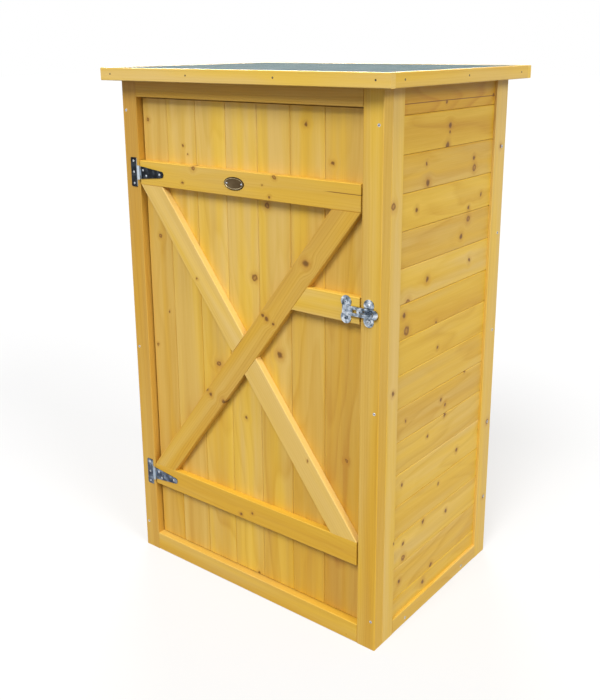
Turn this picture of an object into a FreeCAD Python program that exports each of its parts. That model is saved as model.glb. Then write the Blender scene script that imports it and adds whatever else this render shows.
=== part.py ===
import FreeCAD, Part
import math
import os

# Upright garden storage cabinet with one braced door, in millimetres.
# X runs across the front, the front faces -Y and Z is up.
# The origin lies on the ground in the middle of the roof's outline.

V = FreeCAD.Vector
X, Y, Z = V(1, 0, 0), V(0, 1, 0), V(0, 0, 1)

# Overall sizes
roof_width = 750.0
roof_depth = 560.0
total_height = 1170.0
side_overhang = 32.0
front_overhang = 30.0
back_overhang = 40.0

# Roof
fascia_height = 27.0
fascia_thickness = 15.0
felt_thickness = 2.0
felt_drop = 0.5
roof_board_thickness = 15.5
roof_board_cover = 76.0
batten_size = 30.0

# Front and back frames
stile_width = 44.0
front_frame_thickness = 30.0
back_stile_width = 30.0
back_frame_thickness = 30.0
tenon_length = 12.0
tenon_thickness = 10.0
tenon_shoulder = 7.0

# Side walls
wall_frame_thickness = 20.0
wall_front_stile_width = 40.0
wall_back_stile_width = 50.0
wall_rail_height = 34.0
wall_tenon_thickness = 8.0
wall_tenon_margin = 3.0
wall_board_setback = 6.0
wall_board_cover = 72.5
wall_top_board_width = 62.0
board_lap = 10.0

# Tongued and grooved boards
board_thickness = 14.0
tongue_length = 5.0
tongue_thickness = 4.0
groove_clearance = 0.3
board_bevel = 1.5
board_joint_gap = 0.3

# Floor
bearer_height = 24.0
bearer_width = 34.0
bearer_front_inset = 91.0
bearer_back_inset = 86.0
floor_board_count = 8
floor_board_gap = 2.0

# Door
door_side_gap = 3.0
door_top_gap = 3.0
door_bottom_gap = 3.0
door_board_cover = 85.0
door_first_board_width = 74.0
batten_width = 53.0
upper_ledge_drop = 161.5
lower_ledge_rise = 162.0
lock_rail_share = 0.7066
running_gap = 0.3
stop_lap = 16.0
stop_top_lap = 13.0
stop_thickness = 20.0
timber_arris = 1.2

# T-hinges
leaf_thickness = 1.5
hinge_knuckle_radius = 3.4
hinge_pin_radius = 1.7
running_fit = 0.05
hinge_plate_height = 65.0
hinge_plate_width = 19.0
hinge_plate_corner = 2.0
hinge_plate_offset = 27.5
hinge_knuckle_length = 30.0
hinge_middle_knuckle = 13.4
hinge_strap_length = 75.0
hinge_strap_base = 28.0
hinge_strap_tip = 14.0
hinge_plate_screw_inset = 7.5
strap_screw_places = ((12.0, 6.0), (22.0, -6.0))
strap_tip_screw_inset = 11.0
knuckle_clearance = 0.5
knuckle_back_gap = 0.2
pin_end = 0.8

# Hasp, staple and their plates
hasp_plate_inset = 30.0
hasp_pivot_offset = 6.0
hasp_lobe_radius = 12.0
plate_neck_width = 18.0
hasp_knuckle_radius = 3.2
hasp_pin_radius = 1.5
hasp_outer_knuckle = 3.0
hasp_arm_thickness = 1.8
hasp_arm_height = 19.0
hasp_arm_shoulder = 2.5
hasp_arm_overhang = 22.0
slot_length_clearance = 4.0
slot_height_clearance = 1.8
hasp_window_length = 10.0
hasp_window_height = 7.0
hasp_window_offset = 16.0
hasp_hole_inset = 6.0
hasp_hole_radius = 1.5
staple_inset = 19.0
staple_lobe_radius = 11.5
boss_radius = 8.8
boss_height = 3.3
staple_flange_radius = 6.5
staple_flange_gap = 0.25
staple_stem_radius = 3.4
staple_head_width = 20.0
staple_head_easing = 0.4
staple_head_standoff = 3.7
staple_neck_length = 5.0
padlock_hole_radius = 4.5

# Oval plate
oval_length = 54.0
oval_height = 27.0
oval_thickness = 1.6
oval_x = -16.0
oval_sides = 36

# Fasteners
fastener_sides = 6
dome_top = 0.5
dome_middle = 0.85
screw_head_radius = 3.6
screw_head_depth = 3.0
screw_shank_radius = 1.8
front_screw_bite = 20.0
back_screw_bite = 14.0
floor_screw_bite = 25.0
plate_screw_radius = 1.5
plate_screw_head_radius = 3.0
plate_screw_head_height = 1.4
lobe_screw_head_radius = 4.5
lobe_screw_head_height = 2.2
lobe_screw_clearance = 0.5
plate_screw_length = 14.0
front_screw_shares = (0.057, 0.458, 0.936)
back_screw_shares = (0.133, 0.303, 0.502, 0.7, 0.867)

# Places worked out from the sizes above
front_y = -roof_depth / 2 + front_overhang
back_y = roof_depth / 2 - back_overhang
side_x = roof_width / 2 - side_overhang
felt_top = total_height - felt_drop
body_height = felt_top - felt_thickness - roof_board_thickness
front_inner_y = front_y + front_frame_thickness
back_inner_y = back_y - back_frame_thickness
wall_inner_x = side_x - wall_frame_thickness
opening_x = side_x - stile_width
opening_top = body_height - stile_width
back_opening_x = wall_inner_x - back_stile_width
door_x = opening_x - door_side_gap
door_low = stile_width + door_bottom_gap
door_high = opening_top - door_top_gap
upper_ledge_z = door_high - upper_ledge_drop
lower_ledge_z = door_low + lower_ledge_rise
lock_rail_z = lower_ledge_z + lock_rail_share * (upper_ledge_z - lower_ledge_z)
batten_front_y = front_y - running_gap
batten_thickness = front_frame_thickness - board_thickness
batten_back_y = batten_front_y + batten_thickness
fascia_low = total_height - fascia_height
floor_top = bearer_height + board_thickness
roof_inner_x = roof_width / 2 - fascia_thickness
roof_inner_y = roof_depth / 2 - fascia_thickness

parts = {}


def block(x0, x1, y0, y1, z0, z1):
    return Part.makeBox(x1 - x0, y1 - y0, z1 - z0, V(x0, y0, z0))


def rod(radius, length, start, direction):
    return Part.makeCylinder(radius, length, start, direction)


def fuse_all(shapes):
    return shapes[0].fuse(shapes[1:]).removeSplitter()


def eased_bar(x0, x1, y0, y1, z0, z1):
    """Planed timber: a bar whose long edges have a small chamfer."""
    bar = block(x0, x1, y0, y1, z0, z1)
    longest = max(x1 - x0, y1 - y0, z1 - z0)
    edges = [e for e in bar.Edges if abs(e.Length - longest) < 0.001]
    return bar.makeChamfer(timber_arris, edges)


def prism(points, direction):
    """A solid from a closed outline of points, pushed along a vector."""
    outline = Part.makePolygon(points + [points[0]])
    return Part.Face(outline).extrude(direction)


def board(corner, along, across, inward, length, width, thickness, groove=True, tongue=True):
    """One tongued and grooved board; corner is on the outer face, at the groove side."""
    middle = thickness / 2
    slot = tongue_thickness / 2 + groove_clearance
    edge = width - board_joint_gap if tongue else width
    outline = [(board_bevel, 0.0)]
    if groove:
        depth = tongue_length + groove_clearance - board_joint_gap
        outline += [(middle - slot, 0.0), (middle - slot, depth)]
        outline += [(middle + slot, depth), (middle + slot, 0.0)]
    outline += [(thickness, 0.0), (thickness, edge)]
    if tongue:
        half = tongue_thickness / 2
        outline += [(middle + half, edge), (middle + half, edge + tongue_length)]
        outline += [(middle - half, edge + tongue_length), (middle - half, edge)]
    outline += [(board_bevel, edge), (0.0, edge - board_bevel), (0.0, board_bevel)]
    points = [corner + inward * a + across * b for a, b in outline]
    return prism(points, along * length)


def board_row(corner, along, across, inward, length, edges, thickness=board_thickness):
    """Boards side by side; edges are the places of the joints, from the first edge to the last."""
    row = []
    last = len(edges) - 2
    for i in range(len(edges) - 1):
        start = corner + across * edges[i]
        width = edges[i + 1] - edges[i]
        row.append(board(start, along, across, inward, length, width, thickness, i > 0, i < last))
    return row


def joints(first, cover, total):
    """Places of the joints for a first board, whole boards and what is left over."""
    edges = [0.0, first]
    while edges[-1] + 1.4 * cover < total:
        edges.append(edges[-1] + cover)
    edges.append(total)
    return edges


def turned(rings, place, direction):
    """A small turned piece with a few flat sides, from rings of (distance along, radius)."""
    angles = [2 * math.pi * k / fastener_sides for k in range(fastener_sides)]
    rows = [[V(r * math.cos(a), r * math.sin(a), z) for a in angles] for z, r in rings]
    outlines = [rows[0][::-1], rows[-1]]
    for near, far in zip(rows, rows[1:]):
        for k in range(fastener_sides):
            outlines.append([near[k - 1], near[k], far[k], far[k - 1]])
    faces = [Part.Face(Part.makePolygon(points + [points[0]])) for points in outlines]
    solid = Part.makeSolid(Part.makeShell(faces))
    solid.Placement = FreeCAD.Placement(place, FreeCAD.Rotation(Z, direction))
    return solid


def countersunk_screw(head, direction, length):
    rings = [
        (0.0, screw_head_radius), (screw_head_depth, screw_shank_radius), (length, screw_shank_radius)]
    return turned(rings, head, direction)


def domed_screw(head, direction, radius, height):
    """A screw whose head stands on a plate at the point head."""
    rings = [
        (-height, radius * dome_top), (-height / 2, radius * dome_middle), (0.0, radius),
        (0.0, plate_screw_radius), (plate_screw_length, plate_screw_radius)]
    return turned(rings, head, direction)


def bore(names, cutters):
    """Cut the holes of the given fasteners into each named piece that they meet."""
    for name in names:
        box = parts[name].BoundBox
        near = [c for c in cutters if box.intersect(c.BoundBox)]
        if near:
            parts[name] = parts[name].cut(near)


def mirror_x(shape):
    return shape.mirror(V(0, 0, 0), X)


# Front frame: two stiles with the rails tenoned between them
tenon_y = front_y + (front_frame_thickness - tenon_thickness) / 2
tenon_reach = opening_x + tenon_length
top_tenon = (opening_top + tenon_shoulder, body_height - tenon_shoulder)
low_tenon = (tenon_shoulder, stile_width - tenon_shoulder)
rail_tenons = {}
for name, (z0, z1) in (("top", top_tenon), ("bottom", low_tenon)):
    rail_tenons[name] = block(-tenon_reach, tenon_reach, tenon_y, tenon_y + tenon_thickness, z0, z1)
right_stile = eased_bar(opening_x, side_x, front_y, front_inner_y, 0, body_height)
parts["front_right_stile"] = right_stile.cut(list(rail_tenons.values()))
parts["front_left_stile"] = mirror_x(parts["front_right_stile"])
top_rail = eased_bar(-opening_x, opening_x, front_y, front_inner_y, opening_top, body_height)
parts["front_top_rail"] = top_rail.fuse(rail_tenons["top"])
bottom_rail = eased_bar(-opening_x, opening_x, front_y, front_inner_y, 0, stile_width)
parts["front_bottom_rail"] = bottom_rail.fuse(rail_tenons["bottom"])

# Side walls: rebated stiles and rail, boards between them
front_edge = front_inner_y + wall_front_stile_width
back_edge = back_y - wall_back_stile_width
rebate_x = side_x - wall_board_setback
rebate_z = wall_rail_height - board_lap
wall_tenon_x = wall_inner_x + (wall_frame_thickness - wall_tenon_thickness) / 2
wall_tenon = block(
    wall_tenon_x, wall_tenon_x + wall_tenon_thickness,
    front_edge - tenon_length, back_edge + tenon_length, wall_tenon_margin, rebate_z - wall_tenon_margin)
rebate = block(wall_inner_x, rebate_x, front_edge - board_lap, back_edge + board_lap, rebate_z, body_height)
wall_front = eased_bar(wall_inner_x, side_x, front_inner_y, front_edge, 0, body_height)
wall_back = eased_bar(wall_inner_x, side_x, back_edge, back_y, 0, body_height)
wall_rail = eased_bar(wall_inner_x, side_x, front_edge, back_edge, 0, wall_rail_height)
parts["right_wall_front_stile"] = wall_front.cut([rebate, wall_tenon])
parts["right_wall_back_stile"] = wall_back.cut([rebate, wall_tenon])
parts["right_wall_bottom_rail"] = wall_rail.cut(rebate).fuse(wall_tenon)
wall_height = body_height - rebate_z
wall_edges = [wall_height - e for e in joints(wall_top_board_width, wall_board_cover, wall_height)]
wall_edges.reverse()
wall_length = back_edge - front_edge + 2 * board_lap
wall_corner = V(rebate_x, front_edge - board_lap, rebate_z)
wall_boards = board_row(wall_corner, Y, Z, -X, wall_length, wall_edges)
parts["right_wall_boards"] = Part.makeCompound(wall_boards)
for piece in ("front_stile", "back_stile", "bottom_rail", "boards"):
    parts["left_wall_" + piece] = mirror_x(parts["right_wall_" + piece])

# Back wall: a frame like the front one with horizontal boards in its rebate
back_rebate_y = back_y - wall_board_setback
back_tenon_y = back_inner_y + (back_frame_thickness - tenon_thickness) / 2
back_low_rebate = stile_width - board_lap
back_rebate = block(
    -back_opening_x - board_lap, back_opening_x + board_lap,
    back_inner_y, back_rebate_y, back_low_rebate, opening_top + board_lap)
back_reach = back_opening_x + tenon_length
back_tenons = []
for z0, z1 in ((opening_top + board_lap, body_height - tenon_shoulder), (tenon_shoulder, back_low_rebate)):
    back_tenons.append(block(-back_reach, back_reach, back_tenon_y, back_tenon_y + tenon_thickness, z0, z1))
back_stile = eased_bar(back_opening_x, wall_inner_x, back_inner_y, back_y, 0, body_height)
parts["back_right_stile"] = back_stile.cut([back_rebate] + back_tenons)
parts["back_left_stile"] = mirror_x(parts["back_right_stile"])
back_top = eased_bar(-back_opening_x, back_opening_x, back_inner_y, back_y, opening_top, body_height)
parts["back_top_rail"] = back_top.cut(back_rebate).fuse(back_tenons[0])
back_low = eased_bar(-back_opening_x, back_opening_x, back_inner_y, back_y, 0, stile_width)
parts["back_bottom_rail"] = back_low.cut(back_rebate).fuse(back_tenons[1])
back_height = opening_top + board_lap - back_low_rebate
back_edges = joints(wall_board_cover, wall_board_cover, back_height)
back_corner = V(-back_opening_x - board_lap, back_rebate_y, back_low_rebate)
back_length = 2 * (back_opening_x + board_lap)
parts["back_wall_boards"] = Part.makeCompound(
    board_row(back_corner, X, Z, -Y, back_length, back_edges))

# Floor: two bearers between the side walls, boards from front to back on them
bearer_front_y = front_inner_y + bearer_front_inset
bearer_back_y = back_inner_y - bearer_back_inset
for name, y in (("front", bearer_front_y), ("back", bearer_back_y)):
    parts["floor_bearer_" + name] = block(
        -wall_inner_x, wall_inner_x, y - bearer_width / 2, y + bearer_width / 2, 0, bearer_height)
floor_board_width = (2 * wall_inner_x - (floor_board_count - 1) * floor_board_gap) / floor_board_count
floor_boards = []
for i in range(floor_board_count):
    x0 = i * (floor_board_width + floor_board_gap) - wall_inner_x
    floor_boards.append(block(
        x0, x0 + floor_board_width, front_inner_y, back_inner_y, bearer_height, floor_top))
parts["floor_boards"] = Part.makeCompound(floor_boards)

# Roof: battens along the walls, boards across, felt and a fascia on all four sides
batten_low = body_height - batten_size
parts["roof_batten_right"] = block(
    wall_inner_x - batten_size, wall_inner_x, front_inner_y, back_inner_y, batten_low, body_height)
parts["roof_batten_left"] = mirror_x(parts["roof_batten_right"])
roof_board_top = body_height + roof_board_thickness
roof_edges = joints(roof_board_cover, roof_board_cover, 2 * roof_inner_y)
parts["roof_boards"] = Part.makeCompound(board_row(
    V(-roof_inner_x, -roof_inner_y, body_height), X, Y, Z, 2 * roof_inner_x, roof_edges,
    roof_board_thickness))
parts["roof_felt"] = block(
    -roof_inner_x, roof_inner_x, -roof_inner_y, roof_inner_y, roof_board_top, felt_top)
parts["fascia_front"] = eased_bar(
    -roof_width / 2, roof_width / 2, -roof_depth / 2, -roof_inner_y, fascia_low, total_height)
parts["fascia_back"] = eased_bar(
    -roof_width / 2, roof_width / 2, roof_inner_y, roof_depth / 2, fascia_low, total_height)
parts["fascia_right"] = eased_bar(
    roof_inner_x, roof_width / 2, -roof_inner_y, roof_inner_y, fascia_low, total_height)
parts["fascia_left"] = mirror_x(parts["fascia_right"])

# Door stops behind the latch stile and the top rail
stop_x = opening_x - stop_lap
stop_y = front_inner_y + stop_thickness
parts["door_stop_side"] = block(stop_x, wall_inner_x, front_inner_y, stop_y, floor_top, batten_low)
parts["door_stop_top"] = block(
    -wall_inner_x, stop_x, front_inner_y, stop_y, door_high - stop_top_lap, batten_low)

# Door boards
door_edges = joints(door_first_board_width, door_board_cover, 2 * door_x)
parts["door_boards"] = Part.makeCompound(board_row(
    V(-door_x, batten_back_y, door_low), Z, X, Y, door_high - door_low, door_edges))

# Door ledges, and braces from corner to corner between them
half_batten = batten_width / 2


def ledge(z):
    return eased_bar(-door_x, door_x, batten_front_y, batten_back_y, z - half_batten, z + half_batten)


parts["upper_ledge"] = ledge(upper_ledge_z)
parts["lower_ledge"] = ledge(lower_ledge_z)
brace_low = lower_ledge_z + half_batten
brace_high = upper_ledge_z - half_batten
brace_rise = brace_high - brace_low


def brace_foot():
    """Width of a brace along the ledge, found by closing in on its slope."""
    foot = batten_width
    for _ in range(30):
        run = 2 * door_x - foot
        foot = batten_width * math.hypot(run, brace_rise) / brace_rise
    return foot


foot = brace_foot()
brace_run = 2 * door_x - foot
brace_slope = brace_run / brace_rise


def brace(bottom_x, top_x):
    points = [
        V(bottom_x, batten_front_y, brace_low), V(bottom_x + foot, batten_front_y, brace_low),
        V(top_x + foot, batten_front_y, brace_high), V(top_x, batten_front_y, brace_high)]
    solid = prism(points, Y * batten_thickness)
    edges = [e for e in solid.Edges if e.Length > brace_rise]
    return solid.makeChamfer(timber_arris, edges)


long_brace = brace(-door_x, door_x - foot)
crossing = brace(door_x - foot, -door_x)
long_brace_room = prism([
    V(-door_x, batten_front_y, brace_low), V(foot - door_x, batten_front_y, brace_low),
    V(door_x, batten_front_y, brace_high), V(door_x - foot, batten_front_y, brace_high)],
    Y * batten_thickness)
halves = crossing.cut(long_brace_room).Solids
halves.sort(key=lambda s: s.CenterOfMass.z)
parts["long_brace"] = long_brace
parts["lower_half_brace"] = halves[0]
parts["upper_half_brace"] = halves[1]

# Short rail for the latch, cut to the slope of the long brace
rail_low = lock_rail_z - half_batten
rail_high = lock_rail_z + half_batten


def brace_edge_x(z):
    return foot - door_x + (z - brace_low) * brace_slope


lock_bar = eased_bar(-door_x, door_x, batten_front_y, batten_back_y, rail_low, rail_high)
beyond = prism([
    V(-door_x, batten_front_y, rail_low), V(brace_edge_x(rail_low), batten_front_y, rail_low),
    V(brace_edge_x(rail_high), batten_front_y, rail_high), V(-door_x, batten_front_y, rail_high)],
    Y * batten_thickness)
parts["lock_rail"] = lock_bar.cut(beyond)

# T-hinges: frame plate with two knuckles, strap with the middle knuckle, pin
hinge_x = -opening_x + door_side_gap / 2
hinge_y = batten_front_y - hinge_knuckle_radius - knuckle_back_gap
plate_front_y = front_y - leaf_thickness
strap_front_y = batten_front_y - leaf_thickness
bore_radius = hinge_pin_radius + running_fit
half_middle = hinge_middle_knuckle / 2
half_knuckle = hinge_knuckle_length / 2
knuckle_room = hinge_knuckle_radius + knuckle_clearance


def hinge_plate(z):
    x0 = hinge_x - hinge_plate_offset
    half = hinge_plate_height / 2
    plate = block(x0, x0 + hinge_plate_width, plate_front_y, front_y, z - half, z + half)
    corners = [e for e in plate.Edges if abs(e.Length - leaf_thickness) < 0.001]
    plate = plate.makeChamfer(hinge_plate_corner, corners)
    tongue = block(x0, hinge_x, plate_front_y, front_y, z - half_knuckle, z + half_knuckle)
    knuckle = rod(hinge_knuckle_radius, hinge_knuckle_length, V(hinge_x, hinge_y, z - half_knuckle), Z)
    half_room = half_middle + running_gap
    room = block(
        hinge_x - knuckle_room, hinge_x + knuckle_room, hinge_y - knuckle_room, front_y,
        z - half_room, z + half_room)
    pin_hole = rod(bore_radius, hinge_knuckle_length, V(hinge_x, hinge_y, z - half_knuckle), Z)
    return fuse_all([plate, tongue, knuckle]).cut([room, pin_hole])


def hinge_strap(z):
    tip_radius = hinge_strap_tip / 2
    tip_x = hinge_x + hinge_strap_length - tip_radius
    base_x = hinge_x + knuckle_room
    half_base = hinge_strap_base / 2
    leaf = prism([
        V(base_x, strap_front_y, z - half_base), V(tip_x, strap_front_y, z - tip_radius),
        V(tip_x, strap_front_y, z + tip_radius), V(base_x, strap_front_y, z + half_base)],
        Y * leaf_thickness)
    tip = rod(tip_radius, leaf_thickness, V(tip_x, strap_front_y, z), Y)
    tongue = block(hinge_x, base_x, strap_front_y, batten_front_y, z - half_middle, z + half_middle)
    knuckle = rod(hinge_knuckle_radius, hinge_middle_knuckle, V(hinge_x, hinge_y, z - half_middle), Z)
    pin_hole = rod(bore_radius, hinge_middle_knuckle, V(hinge_x, hinge_y, z - half_middle), Z)
    return fuse_all([leaf, tip, tongue, knuckle]).cut(pin_hole)


def pin(x, y, z, radius, length):
    return rod(radius, length + 2 * pin_end, V(x, y, z - length / 2 - pin_end), Z)


hinge_pins = []
plate_screws = []
strap_screws = []
hinge_screw_x = hinge_x - hinge_plate_offset + hinge_plate_width / 2
plate_screw_reach = hinge_plate_height / 2 - hinge_plate_screw_inset
strap_tip_place = (hinge_strap_length - strap_tip_screw_inset, 0.0)
for name, z in (("upper", upper_ledge_z), ("lower", lower_ledge_z)):
    parts[name + "_hinge_plate"] = hinge_plate(z)
    parts[name + "_hinge_strap"] = hinge_strap(z)
    hinge_pins.append(pin(hinge_x, hinge_y, z, hinge_pin_radius, hinge_knuckle_length))
    for dz in (-plate_screw_reach, 0.0, plate_screw_reach):
        plate_screws.append(domed_screw(
            V(hinge_screw_x, plate_front_y, z + dz), Y,
            plate_screw_head_radius, plate_screw_head_height))
    for dx, dz in strap_screw_places + (strap_tip_place,):
        strap_screws.append(domed_screw(
            V(hinge_x + dx, strap_front_y, z + dz), Y,
            plate_screw_head_radius, plate_screw_head_height))
parts["hinge_pins"] = Part.makeCompound(hinge_pins)
parts["hinge_plate_screws"] = Part.makeCompound(plate_screws)
parts["hinge_strap_screws"] = Part.makeCompound(strap_screws)


# Latch plates: two round lobes joined by a neck, their screws clear of the hasp's knuckle
latch_z = lock_rail_z
hasp_middle_knuckle = hasp_arm_height - 2 * hasp_arm_shoulder
hasp_knuckle_length = hasp_middle_knuckle + 2 * hasp_outer_knuckle
lobe_pitch = hasp_knuckle_length + 2 * (pin_end + lobe_screw_clearance + lobe_screw_head_radius)


def lobed_plate(x, back_y_of_plate, lobe_radius):
    y = back_y_of_plate - leaf_thickness
    low = rod(lobe_radius, leaf_thickness, V(x, y, latch_z - lobe_pitch / 2), Y)
    high = rod(lobe_radius, leaf_thickness, V(x, y, latch_z + lobe_pitch / 2), Y)
    half = plate_neck_width / 2
    neck = block(
        x - half, x + half, y, back_y_of_plate, latch_z - lobe_pitch / 2, latch_z + lobe_pitch / 2)
    return fuse_all([low, high, neck])


def lobe_screws(x, y):
    places = (latch_z - lobe_pitch / 2, latch_z + lobe_pitch / 2)
    return [
        domed_screw(V(x, y, z), Y, lobe_screw_head_radius, lobe_screw_head_height) for z in places]


# Hasp: its knuckle turns between two of the plate's, on an upright pin
hasp_plate_x = door_x - hasp_plate_inset
hasp_pivot_x = hasp_plate_x + hasp_pivot_offset
hasp_y = batten_front_y - hasp_knuckle_radius - knuckle_back_gap
half_hasp = hasp_knuckle_length / 2
half_arm_knuckle = hasp_middle_knuckle / 2
hasp_room = hasp_knuckle_radius + knuckle_clearance
hasp_bore = hasp_pin_radius + running_fit
hasp_outer = rod(hasp_knuckle_radius, hasp_knuckle_length, V(hasp_pivot_x, hasp_y, latch_z - half_hasp), Z)
hasp_window = block(
    hasp_pivot_x - hasp_room, hasp_pivot_x + hasp_room, hasp_y - hasp_room, batten_front_y,
    latch_z - half_arm_knuckle - running_gap, latch_z + half_arm_knuckle + running_gap)
hasp_pin_hole = rod(hasp_bore, hasp_knuckle_length, V(hasp_pivot_x, hasp_y, latch_z - half_hasp), Z)
hasp_base = lobed_plate(hasp_plate_x, batten_front_y, hasp_lobe_radius)
parts["hasp_plate"] = fuse_all([hasp_base, hasp_outer]).cut([hasp_window, hasp_pin_hole])
parts["hasp_pin"] = pin(hasp_pivot_x, hasp_y, latch_z, hasp_pin_radius, hasp_knuckle_length)

boss_front_y = front_y - boss_height
arm_back_y = boss_front_y - running_gap
arm_front_y = arm_back_y - hasp_arm_thickness
arm_half = hasp_arm_height / 2
arm_root_x = hasp_pivot_x + hasp_room
staple_x = opening_x + staple_inset
arm_end_x = staple_x + hasp_arm_overhang - arm_half
arm_leaf = block(arm_root_x, arm_end_x, arm_front_y, arm_back_y, latch_z - arm_half, latch_z + arm_half)
arm_end = rod(arm_half, hasp_arm_thickness, V(arm_end_x, arm_front_y, latch_z), Y)
arm_tongue = block(
    hasp_pivot_x, arm_root_x, arm_front_y, arm_back_y,
    latch_z - half_arm_knuckle, latch_z + half_arm_knuckle)
arm_knuckle = rod(
    hasp_knuckle_radius, hasp_middle_knuckle, V(hasp_pivot_x, hasp_y, latch_z - half_arm_knuckle), Z)


def arm_hole(x, length, height):
    return block(
        x - length / 2, x + length / 2, arm_front_y, arm_back_y, latch_z - height / 2, latch_z + height / 2)


slot_length = staple_head_width + slot_length_clearance
slot_height = 2 * staple_stem_radius + slot_height_clearance
hasp_hole_x = staple_x - slot_length / 2 - hasp_hole_inset
arm_holes = [
    arm_hole(staple_x, slot_length, slot_height),
    arm_hole(hasp_pivot_x + hasp_window_offset, hasp_window_length, hasp_window_height),
    rod(hasp_hole_radius, hasp_arm_thickness, V(hasp_hole_x, arm_front_y, latch_z), Y),
    rod(hasp_bore, hasp_middle_knuckle, V(hasp_pivot_x, hasp_y, latch_z - half_arm_knuckle), Z)]
parts["hasp_arm"] = fuse_all([arm_leaf, arm_end, arm_tongue, arm_knuckle]).cut(arm_holes)

# Staple plate with a raised boss, and the staple that turns in it
stem_hole_radius = staple_stem_radius + running_fit
staple_base = lobed_plate(staple_x, front_y, staple_lobe_radius)
boss = rod(boss_radius, boss_height, V(staple_x, boss_front_y, latch_z), Y)
hollow = rod(
    boss_radius - leaf_thickness, boss_height - leaf_thickness,
    V(staple_x, boss_front_y + leaf_thickness, latch_z), Y)
stem_hole = rod(stem_hole_radius, boss_height, V(staple_x, boss_front_y, latch_z), Y)
parts["staple_plate"] = fuse_all([staple_base, boss]).cut([hollow, stem_hole])

flange_y = boss_front_y + leaf_thickness + staple_flange_gap
flange_thickness = boss_height - leaf_thickness - 2 * staple_flange_gap
head_y = boss_front_y - staple_head_standoff
flange = rod(staple_flange_radius, flange_thickness, V(staple_x, flange_y, latch_z), Y)
stem = rod(staple_stem_radius, flange_y - head_y, V(staple_x, head_y, latch_z), Y)
head_radius = staple_head_width / 2
eye_y = head_y - staple_neck_length
half_head = staple_stem_radius - staple_head_easing
head_block = block(
    staple_x - head_radius, staple_x + head_radius, eye_y, head_y, latch_z - half_head, latch_z + half_head)
head_disc = rod(head_radius, 2 * half_head, V(staple_x, eye_y, latch_z - half_head), Z)
front_half = block(
    staple_x - head_radius, staple_x + head_radius, eye_y - head_radius, eye_y,
    latch_z - half_head, latch_z + half_head)
head = head_block.fuse(head_disc.common(front_half)).removeSplitter()
padlock_hole = rod(padlock_hole_radius, 2 * half_head, V(staple_x, eye_y, latch_z - half_head), Z)
parts["turn_staple"] = fuse_all([flange, stem, head]).cut(padlock_hole)

parts["hasp_plate_screws"] = Part.makeCompound(lobe_screws(hasp_plate_x, batten_front_y - leaf_thickness))
parts["staple_plate_screws"] = Part.makeCompound(lobe_screws(staple_x, plate_front_y))


# Blank oval plate on the upper ledge
oval_turns = [2 * math.pi * side / oval_sides for side in range(oval_sides)]
oval_points = [
    V(
        oval_x + oval_length / 2 * math.cos(turn), batten_front_y,
        upper_ledge_z + oval_height / 2 * math.sin(turn))
    for turn in oval_turns]
parts["oval_plate"] = prism(oval_points, -Y * oval_thickness)

# Screws of the frames and the floor
frame_screw_x = side_x - wall_frame_thickness / 2
back_screw_y = back_y - back_frame_thickness / 2
front_screws = []
back_screws = []
floor_screws = []
for side in (-1, 1):
    for share in front_screw_shares:
        head = V(side * frame_screw_x, front_y, share * body_height)
        front_screws.append(countersunk_screw(head, Y, front_frame_thickness + front_screw_bite))
    for share in back_screw_shares:
        head = V(side * side_x, back_screw_y, share * body_height)
        back_screws.append(countersunk_screw(head, X * -side, wall_frame_thickness + back_screw_bite))
    for y in (bearer_front_y, bearer_back_y):
        head = V(side * side_x, y, bearer_height / 2)
        floor_screws.append(countersunk_screw(head, X * -side, wall_frame_thickness + floor_screw_bite))
parts["front_frame_screws"] = Part.makeCompound(front_screws)
parts["back_frame_screws"] = Part.makeCompound(back_screws)
parts["floor_screws"] = Part.makeCompound(floor_screws)

# Holes for all fasteners
wood_frame = ["front_left_stile", "front_right_stile"]
for side in ("left", "right"):
    for piece in ("_wall_front_stile", "_wall_back_stile", "_wall_bottom_rail"):
        wood_frame.append(side + piece)
    wood_frame.append("back_" + side + "_stile")
bore(wood_frame, front_screws + back_screws + plate_screws)
bore(["left_wall_bottom_rail", "right_wall_bottom_rail"], floor_screws)
bore(["floor_bearer_front", "floor_bearer_back"], floor_screws)
bore(["upper_ledge", "lower_ledge"], strap_screws)
bore(["lock_rail", "long_brace", "hasp_plate"], parts["hasp_plate_screws"].Solids)
bore(["front_right_stile", "staple_plate"], parts["staple_plate_screws"].Solids)
bore(["upper_hinge_plate", "lower_hinge_plate"], plate_screws)
bore(["upper_hinge_strap", "lower_hinge_strap"], strap_screws)

os.makedirs("parts", exist_ok=True)
for name in sorted(parts):
    parts[name].exportStep("parts/" + name + ".step")
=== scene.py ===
import math

import bmesh
import bpy
from mathutils import Matrix, Vector


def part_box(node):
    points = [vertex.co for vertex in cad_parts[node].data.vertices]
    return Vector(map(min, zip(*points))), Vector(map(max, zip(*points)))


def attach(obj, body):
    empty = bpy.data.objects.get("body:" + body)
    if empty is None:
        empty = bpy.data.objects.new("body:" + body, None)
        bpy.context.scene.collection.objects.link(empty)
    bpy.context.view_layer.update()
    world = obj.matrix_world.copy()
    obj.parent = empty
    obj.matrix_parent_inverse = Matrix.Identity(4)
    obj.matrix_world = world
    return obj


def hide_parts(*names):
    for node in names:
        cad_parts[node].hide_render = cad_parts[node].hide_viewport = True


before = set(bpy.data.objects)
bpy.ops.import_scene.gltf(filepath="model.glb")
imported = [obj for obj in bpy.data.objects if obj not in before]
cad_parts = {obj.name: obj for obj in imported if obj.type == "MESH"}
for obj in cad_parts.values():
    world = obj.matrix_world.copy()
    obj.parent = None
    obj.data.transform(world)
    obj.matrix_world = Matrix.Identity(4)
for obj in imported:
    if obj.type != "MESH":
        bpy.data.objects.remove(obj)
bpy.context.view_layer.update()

# Garden storage cabinet: finishes, small fittings, light and camera, in metres.
# X runs across the front, the front faces -Y and Z is up. Colours are screen colours from 0 to 255.

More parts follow.
